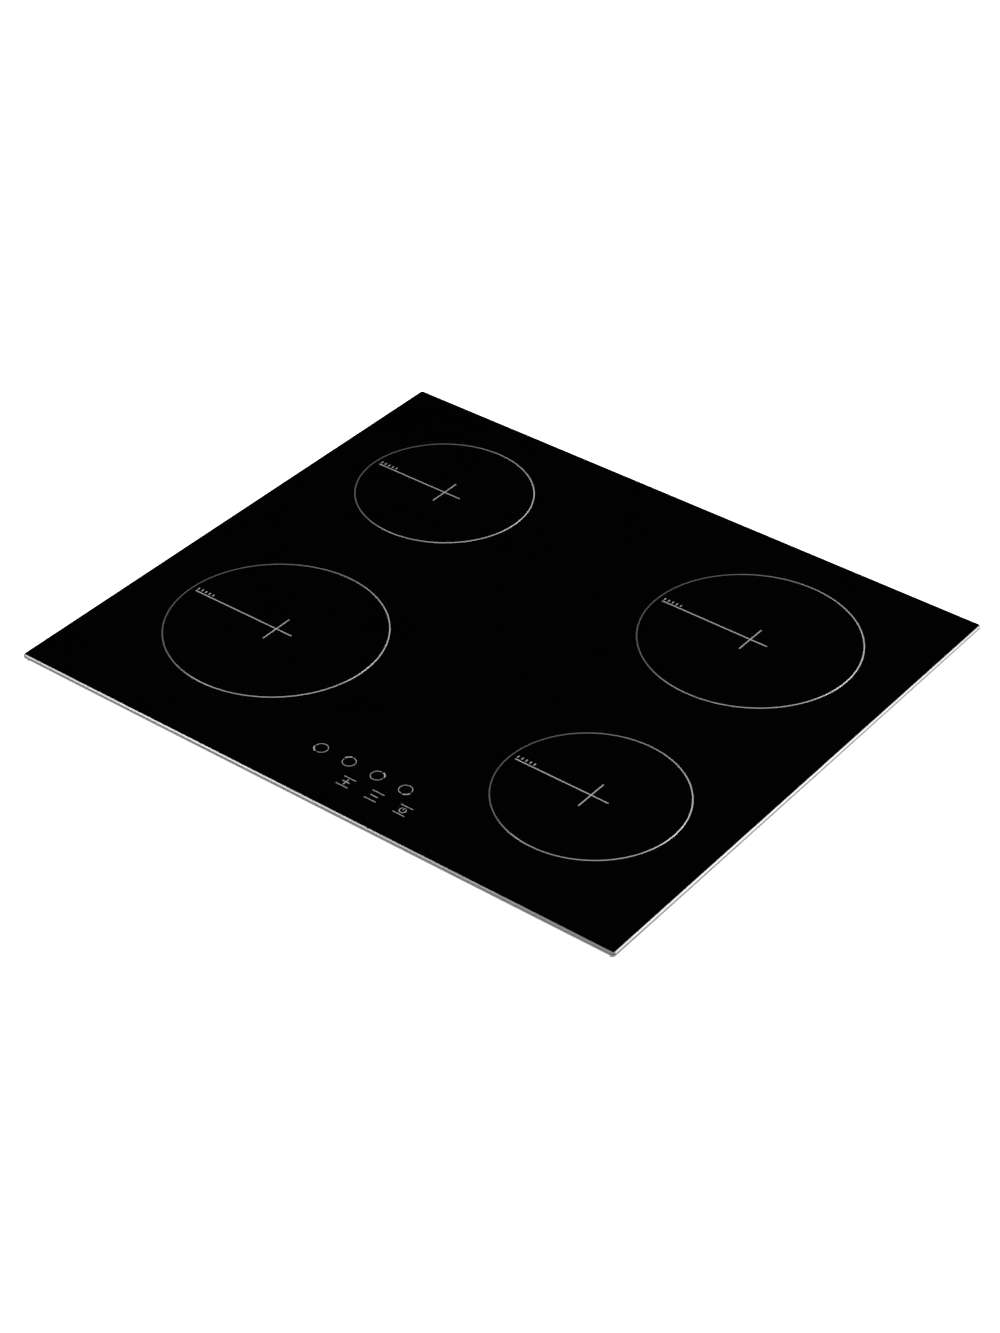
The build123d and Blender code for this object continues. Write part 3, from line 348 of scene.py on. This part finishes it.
def makeBoard():
    material, tree, surface, place = startMaterial("solderMaskLaminate", {"Roughness": boardLook["rough"]})
    tracks = addNode(tree, "ShaderNodeTexBrick", {
        "Scale": 1 / (boardLook["pitch"] * mm), "Mortar Size": boardLook["gapShare"],
        "Brick Width": boardLook["trackShare"], "Row Height": boardLook["rowShare"],
        "Color1": linear(boardLook["mask"]), "Color2": linear(boardLook["track"]),
        "Mortar": linear(boardLook["gap"]),
    }, {"Vector": place})
    relief = addNode(tree, "ShaderNodeBump", {"Strength": 0.5, "Distance": boardLook["step"] * mm},
                     {"Height": tracks.outputs["Fac"]})
    tree.links.new(tracks.outputs["Color"], surface.inputs["Base Color"])
    tree.links.new(relief.outputs["Normal"], surface.inputs["Normal"])
    return material


finished["blackGlassCeramic"] = makeCeramic()
finished["groundGlassEdge"] = makeGroundEdge()
finished["firedEnamel"] = makeEnamel("firedEnamel")
finished["solderMaskLaminate"] = makeBoard()
print("materials made:", len(finished))

# which finish each kept node has, by the record's material slot
slotFinish = {
    "black_glass": "blackGlassCeramic", "enamel_print": "firedEnamel", "seal_foam": "closedCellFoam",
    "touch_foam": "closedCellFoam", "silicone_bead": "curedSilicone", "zinc_steel": "galvanisedSteel",
    "screw_steel": "zincPlate", "aluminium_sheet": "rolledAluminium",
    "aluminium_extrusion": "extrudedAluminium",
    "circuit_board": "solderMaskLaminate", "copper_winding": "copperLitz", "ferrite": "sinteredFerrite",
    "mica_sheet": "pressedMica", "sensor_silicone": "redSilicone", "spring_steel": "springSteel",
    "nylon": "naturalNylon", "black_plastic": "blackPolyamide", "fan_plastic": "blackPolyamide",
    "grey_plastic": "greyPolypropylene", "capacitor_plastic": "pottedBox", "display_plastic": "smokedLens",
    "grommet_rubber": "blackRubber", "grey_wire": "greyVinyl", "litz_sleeve": "glassSleeve",
    "wire_plastic": "brownVinyl",
}
nodeSlot = {part["node"]: part["material_slot"] for part in frame["record"]["subparts"]}
for name, node in nodes.items():
    node.data.materials.clear()
    node.data.materials.append(finished[slotFinish[nodeSlot[name]]])


# glass plate with its ground bevel

# slope and wall are limits on a face normal's z: under slope is ground edge, under wall is the vertical cut
plate = {"corner": 3.0, "cornerSteps": 8, "bevel": 1.15, "arris": 0.4, "soften": 0.08, "softenOver": 20,
         "darkBand": 1.1, "slope": 0.97, "wall": 0.1, "smooth": 20}


def makePlate():
    low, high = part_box("glass_top")
    bpy.ops.mesh.primitive_cube_add(size=1, location=(low + high) / 2, scale=high - low)
    piece = startPiece("ceramicPlate")
    bpy.ops.object.mode_set(mode="EDIT")
    pickEdges(upright)
    bpy.ops.mesh.bevel(offset=plate["corner"] * mm, segments=plate["cornerSteps"], affect="EDGES")
    pickEdges(lambda a, b: near(a.z, high.z) and near(b.z, high.z))
    bpy.ops.mesh.bevel(offset=plate["bevel"] * mm, segments=1, affect="EDGES")
    pickEdges(lambda a, b: near(a.z, low.z) and near(b.z, low.z))
    bpy.ops.mesh.bevel(offset=plate["arris"] * mm, segments=1, affect="EDGES")
    bpy.ops.object.mode_set(mode="OBJECT")
    softenEdges(piece, plate["soften"], 2, plate["softenOver"])
    # under the ground bevel a strip of the cut edge is left clear and shows the dark body
    bandTop = high.z - plate["bevel"] * mm
    bandEnd = bandTop - plate["darkBand"] * mm
    bpy.ops.object.mode_set(mode="EDIT")
    bpy.ops.mesh.select_all(action="SELECT")
    bpy.ops.mesh.bisect(plane_co=(0, 0, bandEnd), plane_no=(0, 0, 1))
    bpy.ops.object.mode_set(mode="OBJECT")
    piece.data.materials.append(finished["blackGlassCeramic"])
    piece.data.materials.append(finished["groundGlassEdge"])
    bpy.ops.object.mode_set(mode="EDIT")
    pickFaces(lambda middle, normal: abs(normal.z) < plate["slope"]
              and not (bandEnd < middle.z < bandTop and abs(normal.z) < plate["wall"]))
    piece.active_material_index = 1
    bpy.ops.object.material_slot_assign()
    bpy.ops.object.mode_set(mode="OBJECT")
    finishPiece(piece, "hob", ["glass_top"], plate["smooth"])


makePlate()
print("glass plate made")


# printed marks: four zones, four zone keys and three lower keys, all fired on top of the glass

marks = {"line": 1.0, "arm": 16.4, "ringGap": 5.0,
         "ticks": 5, "tickPitch": 4.0, "tickLow": 2.2, "tickHigh": 4.8,
         "keyPitch": 28.0, "zoneKeyX": -25.6, "zoneKeyY": -204.9, "keyRadius": 5.5, "keyLine": 0.5,
         "boldRadius": 5.9, "boldLine": 1.1, "boldGap": 14.0, "lowKeyX": 16.4, "lowKeyY": -225.9,
         "barLength": 11.5, "barLine": 0.6, "barSpacing": 10.5, "sign": 7.0, "signLine": 0.7,
         "powerRadius": 2.8, "powerGap": 70.0, "stem": 3.4, "ringSteps": 240, "keySteps": 72, "ownRing": 0.15,
         "weld": 0.002, "smooth": 30}
zones = {"FrontLeft": (-156.5, -106.0, 93.0), "RearLeft": (-174.0, 139.5, 78.0),
         "RearRight": (156.5, 123.5, 93.0), "FrontRight": (174.0, -122.0, 78.0)}
boldStarts = (180.0, 90.0, 0.0, 270.0)  # which quarter of each zone key is bold, from left to right
printLow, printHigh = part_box("surface_print")


def addBand(x, y, radius, line, steps, start=0.0, sweep=360.0):
    # a circle widened into a flat ring, then the part outside the arc is deleted
    centre = Vector((x * mm, y * mm, printLow.z))
    inner = radius - line / 2
    bpy.ops.mesh.select_mode(type="VERT")
    bpy.ops.mesh.primitive_circle_add(vertices=steps, radius=inner * mm, location=centre,
                                      rotation=(0, 0, math.radians(start)))
    bpy.ops.mesh.extrude_region_move(TRANSFORM_OT_translate={"value": (0, 0, 0)})
    wider = (inner + line) / inner
    bpy.ops.transform.resize(value=(wider, wider, 1), center_override=centre)
    if sweep < 360.0:
        def outside(middle, normal):
            reach = middle - centre
            turn = math.degrees(math.atan2(reach.y, reach.x)) - start
            return abs(reach.length / mm - radius) < marks["ownRing"] and turn % 360.0 > sweep
        pickFaces(outside)
        bpy.ops.mesh.delete(type="FACE")


def addStrip(x0, y0, x1, y1, line):
    # a flat bar with square ends, along X or Y
    width = max(abs(x1 - x0), line) * mm
    depth = max(abs(y1 - y0), line) * mm
    middle = ((x0 + x1) / 2 * mm, (y0 + y1) / 2 * mm, printLow.z)
    bpy.ops.mesh.primitive_plane_add(size=1, location=middle)
    bpy.ops.transform.resize(value=(width, depth, 1), center_override=middle)


def startPrint(name):
    piece = addObject(name, bpy.data.meshes.new(name))
    onlyPick(piece)
    bpy.ops.object.mode_set(mode="EDIT")
    return piece


def finishPrint(piece, finish):
    bpy.ops.mesh.select_all(action="SELECT")
    bpy.ops.mesh.remove_doubles(threshold=marks["weld"] * mm)
    bpy.ops.mesh.normals_make_consistent(inside=False)
    bpy.ops.mesh.select_all(action="SELECT")
    thickness = printHigh.z - printLow.z
    bpy.ops.mesh.extrude_region_move(TRANSFORM_OT_translate={"value": (0, 0, thickness)})
    bpy.ops.mesh.select_all(action="SELECT")
    bpy.ops.mesh.normals_make_consistent(inside=False)
    bpy.ops.object.mode_set(mode="OBJECT")
    piece.data.materials.append(finish)
    finishPiece(piece, "hob", ["surface_print"], marks["smooth"])


def makePrint():
    line = marks["line"]
    for name, (x, y, radius) in zones.items():
        piece = startPrint("ring" + name)
        addBand(x, y, radius, line, marks["ringSteps"])
        # each ring's material carries a painted highlight and shade round the ring
        finishPrint(piece, makeEnamel("firedEnamel" + name, Vector((x * mm, y * mm, 0))))
        piece = startPrint("cross" + name)
        end = radius - marks["ringGap"]
        arm = marks["arm"]
        addStrip(x - end, y, x - line / 2, y, line)
        addStrip(x + line / 2, y, x + arm, y, line)
        addStrip(x, y - arm, x, y + arm, line)
        for step in range(marks["ticks"]):
            tickX = x - end + step * marks["tickPitch"] + line / 2
            addStrip(tickX, y + marks["tickLow"], tickX, y + marks["tickHigh"], line)
        finishPrint(piece, finished["firedEnamel"])
    piece = startPrint("keyMarks")
    for step, bold in enumerate(boldStarts):
        x = marks["zoneKeyX"] + step * marks["keyPitch"]
        y = marks["zoneKeyY"]
        addBand(x, y, marks["keyRadius"], marks["keyLine"], marks["keySteps"], bold + 90, 270)
        addBand(x, y, marks["boldRadius"], marks["boldLine"], marks["keySteps"], bold + marks["boldGap"],
                90 - 2 * marks["boldGap"])
    y = marks["lowKeyY"]
    for step in range(3):
        x = marks["lowKeyX"] + step * marks["keyPitch"]
        for row in (-1, 1):
            barY = y + row * marks["barSpacing"] / 2
            addStrip(x - marks["barLength"] / 2, barY, x + marks["barLength"] / 2, barY, marks["barLine"])
    x = marks["lowKeyX"]
    half = marks["sign"] / 2
    thin = marks["signLine"]
    addStrip(x, y - half, x, y + half, thin)
    addStrip(x - half, y, x - thin / 2, y, thin)
    addStrip(x + thin / 2, y, x + half, y, thin)
    x += marks["keyPitch"]
    addStrip(x - half, y, x + half, y, thin)
    x += marks["keyPitch"]
    addBand(x, y, marks["powerRadius"], marks["barLine"], marks["keySteps"], 90 + marks["powerGap"] / 2,
            360 - marks["powerGap"])
    addStrip(x, y, x, y + marks["stem"], marks["barLine"])
    finishPrint(piece, finished["firedEnamel"])


makePrint()
print("printed marks made")


# foam seal under the glass

seal = {"width": 10.0, "corner": 3.0, "cornerSteps": 6, "soften": 0.45, "softenOver": 35, "smooth": 50}


def makeSeal():
    low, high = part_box("worktop_seal")
    middle = (low + high) / 2
    bpy.ops.mesh.primitive_plane_add(size=1, location=(middle.x, middle.y, low.z))
    bpy.context.object.scale = (high.x - low.x, high.y - low.y, 1)
    piece = startPiece("worktopSeal")
    bpy.ops.object.mode_set(mode="EDIT")
    bpy.ops.mesh.select_all(action="SELECT")
    bpy.ops.mesh.bevel(offset=seal["corner"] * mm, segments=seal["cornerSteps"], affect="VERTICES")
    bpy.ops.mesh.select_all(action="SELECT")
    bpy.ops.mesh.inset(thickness=seal["width"] * mm)
    bpy.ops.mesh.delete(type="FACE")
    bpy.ops.mesh.select_all(action="SELECT")
    bpy.ops.mesh.extrude_region_move(TRANSFORM_OT_translate={"value": (0, 0, high.z - low.z)})
    bpy.ops.mesh.select_all(action="SELECT")
    bpy.ops.mesh.normals_make_consistent(inside=False)
    bpy.ops.object.mode_set(mode="OBJECT")
    softenEdges(piece, seal["soften"], 3, seal["softenOver"])
    piece.data.materials.append(finished["closedCellFoam"])
    finishPiece(piece, "hob", ["worktop_seal"], seal["smooth"])


makeSeal()
print("seal made")


# pressed case: the sheet's cut and folded edges get a small radius

caseSheet = {"edge": 0.22, "weld": 0.01, "flat": 0.5, "softenOver": 40, "smooth": 30}


def makeCase():
    piece = addObject("pressedCase", nodes["lower_case"].data.copy())
    onlyPick(piece)
    bpy.ops.object.mode_set(mode="EDIT")
    bpy.ops.mesh.select_all(action="SELECT")
    bpy.ops.mesh.remove_doubles(threshold=caseSheet["weld"] * mm)
    bpy.ops.mesh.dissolve_limited(angle_limit=math.radians(caseSheet["flat"]))
    bpy.ops.object.mode_set(mode="OBJECT")
    softenEdges(piece, caseSheet["edge"], 2, caseSheet["softenOver"])
    finishPiece(piece, "hob", ["lower_case"], caseSheet["smooth"])


makeCase()
print("case made")


# pan-head sheet screws with a cross recess

screw = {"head": 3.8, "height": 2.3, "dome": 1.3, "shank": 1.9, "recess": 3.6, "slot": 0.85, "depth": 1.3,
         "long": 7.0, "short": 2.3, "rimZ": -5.8,
         "sideX": 275.0, "sideY": 150.0, "endX": 190.0, "endY": 240.0,
         "trayX": 257.2, "trayY": (-131.333, 14.0, 159.333), "trayZ": -13.2,
         "sides": 32, "domeSteps": 5, "smooth": 30}


def makeScrew(length):
    bpy.ops.mesh.primitive_cylinder_add(vertices=screw["sides"], radius=screw["head"] * mm,
                                        depth=screw["height"] * mm, location=(0, 0, screw["height"] / 2 * mm))
    piece = startPiece("screw")
    bpy.ops.object.mode_set(mode="EDIT")
    top = screw["height"] * mm
    pickEdges(lambda a, b: near(a.z, top) and near(b.z, top))
    bpy.ops.mesh.bevel(offset=screw["dome"] * mm, segments=screw["domeSteps"], affect="EDGES")
    pickFaces(lambda middle, normal: normal.z < -0.9)
    bpy.ops.mesh.inset(thickness=(screw["head"] - screw["shank"]) * mm)
    bpy.ops.mesh.extrude_region_move(TRANSFORM_OT_translate={"value": (0, 0, -length * mm)})
    bpy.ops.object.mode_set(mode="OBJECT")
    for turn in (0, 90):
        size = (2 * screw["recess"] * mm, screw["slot"] * mm, 2 * screw["depth"] * mm)
        bpy.ops.mesh.primitive_cube_add(size=1, location=(0, 0, top), scale=size,
                                        rotation=(0, 0, math.radians(turn)))
        cutter = startPiece("cutter")
        bpy.context.view_layer.objects.active = piece
        cut = piece.modifiers.new("cut", "BOOLEAN")
        cut.operation = "DIFFERENCE"
        cut.object = cutter
        bpy.ops.object.modifier_apply(modifier=cut.name)
        bpy.data.objects.remove(cutter)
    return piece


def placeScrews():
    quarter = math.pi / 2
    rims = []
    for side in (-1, 1):
        for row in (-1, 1):
            onSide = (side * screw["sideX"], row * screw["sideY"], screw["rimZ"])
            onEnd = (side * screw["endX"], row * screw["endY"], screw["rimZ"])
            rims += [(onSide, (0, side * quarter, 0)), (onEnd, (-row * quarter, 0, 0))]
    trays = [((side * screw["trayX"], y, screw["trayZ"]), (0, 0, 0))
             for side in (-1, 1) for y in screw["trayY"]]
    copies = []
    for length, places in ((screw["long"], rims), (screw["short"], trays)):
        first = makeScrew(length)
        for place, turn in places:
            copy = addObject("screw", first.data.copy())
            copy.location = [p * mm for p in place]
            copy.rotation_euler = turn
            copies.append(copy)
        bpy.data.objects.remove(first)
    bpy.ops.object.select_all(action="DESELECT")
    for copy in copies:
        copy.select_set(True)
    bpy.context.view_layer.objects.active = copies[0]
    bpy.ops.object.join()
    piece = startPiece("sheetScrews")
    piece.data.materials.append(finished["zincPlate"])
    finishPiece(piece, "hob", ["sheet_screws"], screw["smooth"])


placeScrews()
print("screws made")


# hinged cover over the mains terminals

cover = {"corner": 2.5, "ribs": 3, "ribPitch": 6.0, "ribHeight": 2.0, "ribDepth": 0.8, "ribMargin": 8.0,
         "ribLift": 2.0, "thickness": 2.5, "barrel": 2.5, "pin": 1.5, "pinReach": 2.5, "soften": 0.35,
         "cornerSteps": 5, "pinSides": 32, "softenOver": 40, "smooth": 35}


def addBlock(low, high):
    middle = [(a + b) / 2 for a, b in zip(low, high)]
    bpy.ops.mesh.primitive_cube_add(size=1, location=middle, scale=[b - a for a, b in zip(low, high)])


def makeCover():
    low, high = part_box("terminal_cover")
    halfWidth = high.x - cover["pinReach"] * mm
    axisZ = low.z + cover["barrel"] * mm
    innerY = low.y
    addBlock((-halfWidth, innerY, axisZ), (halfWidth, innerY + cover["thickness"] * mm, high.z))
    piece = startPiece("terminalCover")
    bpy.ops.object.mode_set(mode="EDIT")
    pickEdges(lambda a, b: near(a.x, b.x) and near(a.z, high.z) and near(b.z, high.z))
    bpy.ops.mesh.bevel(offset=cover["corner"] * mm, segments=cover["cornerSteps"], affect="EDGES")
    middleZ = (axisZ + high.z) / 2 + cover["ribLift"] * mm
    ribX = halfWidth - cover["ribMargin"] * mm
    ribY = innerY + cover["thickness"] * mm
    for step in range(cover["ribs"]):
        z = middleZ + (step - (cover["ribs"] - 1) / 2) * cover["ribPitch"] * mm
        half = cover["ribHeight"] / 2 * mm
        addBlock((-ribX, ribY - half / 2, z - half), (ribX, ribY + cover["ribDepth"] * mm, z + half))
    axisY = innerY + cover["barrel"] * mm
    for radius, reach in ((cover["barrel"], halfWidth), (cover["pin"], high.x)):
        bpy.ops.mesh.primitive_cylinder_add(vertices=cover["pinSides"], radius=radius * mm, depth=2 * reach,
                                            location=(0, axisY, axisZ), rotation=(0, math.pi / 2, 0))
    bpy.ops.object.mode_set(mode="OBJECT")
    softenEdges(piece, cover["soften"], 3, cover["softenOver"])
    piece.data.materials.append(finished["greyPolypropylene"])
    finishPiece(piece, "terminal_lid", ["terminal_cover"], cover["smooth"])


makeCover()
print("terminal cover made")


# rubber grommet round the cord inlet: radius and distance along Y from its inner end, in mm

grommet = {"sides": 64, "soften": 0.25, "softenOver": 30, "weld": 0.001, "smooth": 40,
           "profile": [(6.0, 0.3), (6.3, 0.0), (9.3, 0.0), (10.1, 0.8), (10.1, 2.0), (8.6, 2.0), (8.6, 2.8),
                       (11.1, 2.8), (11.1, 4.3), (10.1, 5.3), (6.8, 5.3), (6.0, 4.7)]}


def makeGrommet():
    low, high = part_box("inlet_grommet")
    centre = (low + high) / 2
    profile = grommet["profile"]
    radius, towardLit = profile[0]
    bpy.ops.mesh.primitive_circle_add(vertices=grommet["sides"], radius=radius * mm,
                                      rotation=(math.pi / 2, 0, 0),
                                      location=(centre.x, low.y + towardLit * mm, centre.z))
    piece = startPiece("inletGrommet")
    bpy.ops.object.mode_set(mode="EDIT")
    bpy.ops.mesh.select_all(action="SELECT")
    for (r0, y0), (r1, y1) in zip(profile, profile[1:] + profile[:1]):
        bpy.ops.mesh.extrude_region_move(TRANSFORM_OT_translate={"value": (0, (y1 - y0) * mm, 0)})
        wider = r1 / r0
        bpy.ops.transform.resize(value=(wider, 1, wider), center_override=(centre.x, low.y, centre.z))
    bpy.ops.mesh.select_all(action="SELECT")
    bpy.ops.mesh.remove_doubles(threshold=grommet["weld"] * mm)
    bpy.ops.mesh.normals_make_consistent(inside=False)
    bpy.ops.object.mode_set(mode="OBJECT")
    softenEdges(piece, grommet["soften"], 2, grommet["softenOver"])
    piece.data.materials.append(finished["blackRubber"])
    finishPiece(piece, "hob", ["inlet_grommet"], grommet["smooth"])


makeGrommet()
print("grommet made")


# stage: floor, light and camera

# the floor glows a little, as a lit sweep does, and lies a hair under the case
stage = {"floorSize": 80.0, "floorColour": "#f4f4f3", "floorGlow": 0.86, "floorGap": 0.3}


def makeFloor():
    low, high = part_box("lower_case")
    bpy.ops.mesh.primitive_plane_add(size=stage["floorSize"], location=(0, 0, low.z - stage["floorGap"] * mm))
    floor = bpy.context.object
    floor.name = "floor"
    material, tree, surface, place = startMaterial("paleSweep", {
        "Base Color": linear(stage["floorColour"]), "Roughness": 0.9, "Specular IOR Level": 0.1,
        "Emission Color": (1, 1, 1, 1), "Emission Strength": stage["floorGlow"]})
    floor.data.materials.append(material)


# position, what it looks at, size across and down, watts
lights = {
    "topSoft": ((0.3, -0.5, 2.7), (0, 0, 0), (2.6, 2.2), 75),
    "leftFront": ((-1.45, -1.55, 1.5), (-0.2, -0.2, 0), (0.8, 0.8), 30),
    "rightBack": ((1.75, 1.45, 1.1), (0.2, 0.1, 0), (1.4, 1.2), 58),
}


def makeLights():
    for name, (place, target, size, power) in lights.items():
        lamp = bpy.data.lights.new(name, "AREA")
        lamp.shape = "RECTANGLE"
        lamp.size, lamp.size_y = size
        lamp.energy = power
        lampObject = addObject(name, lamp)
        lampObject.location = place
        lampObject.rotation_euler = (Vector(target) - Vector(place)).to_track_quat("-Z", "Y").to_euler()
        lampObject.visible_camera = False


# pale round the horizon, dark overhead, so the polished glass has something black to mirror
sky = {"pale": "#f6f6f6", "dark": "#030303", "paleBelow": 0.06, "darkAbove": 0.28}


def makeSky():
    world = bpy.data.worlds.new("studio")
    bpy.context.scene.world = world
    world.use_nodes = True
    tree = world.node_tree
    tree.nodes.clear()
    direction = addNode(tree, "ShaderNodeTexCoord").outputs["Generated"]
    height = addNode(tree, "ShaderNodeSeparateXYZ", links={"Vector": direction}).outputs["Z"]
    share = addNode(tree, "ShaderNodeMapRange", {"From Min": sky["paleBelow"], "From Max": sky["darkAbove"],
                                                 "interpolation_type": "SMOOTHSTEP"}, {"Value": height})
    colour = addNode(tree, "ShaderNodeMixRGB", {"Color1": linear(sky["pale"]), "Color2": linear(sky["dark"])},
                     {"Fac": share.outputs["Result"]})
    back = addNode(tree, "ShaderNodeBackground", {"Strength": 1.0}, {"Color": colour.outputs["Color"]})
    addNode(tree, "ShaderNodeOutputWorld", links={"Surface": back.outputs["Background"]})


# place in metres, turn in degrees, lens and sensor in mm; the first and last distance it sees in metres
cameraLook = {"place": (1.27450, -1.71490, 1.55574), "turn": (53.553, -0.793, 37.341), "lens": 87.27,
              "sensor": 36, "nearest": 0.05, "farthest": 60}


def makeCamera():
    data = bpy.data.cameras.new("camera")
    data.lens = cameraLook["lens"]
    data.sensor_width = cameraLook["sensor"]
    data.clip_start = cameraLook["nearest"]
    data.clip_end = cameraLook["farthest"]
    camera = addObject("camera", data)
    camera.location = cameraLook["place"]
    camera.rotation_euler = [math.radians(a) for a in cameraLook["turn"]]
    bpy.context.scene.camera = camera


makeFloor()
makeLights()
makeSky()
makeCamera()
bpy.context.scene.view_settings.view_transform = "Standard"
print("stage set")
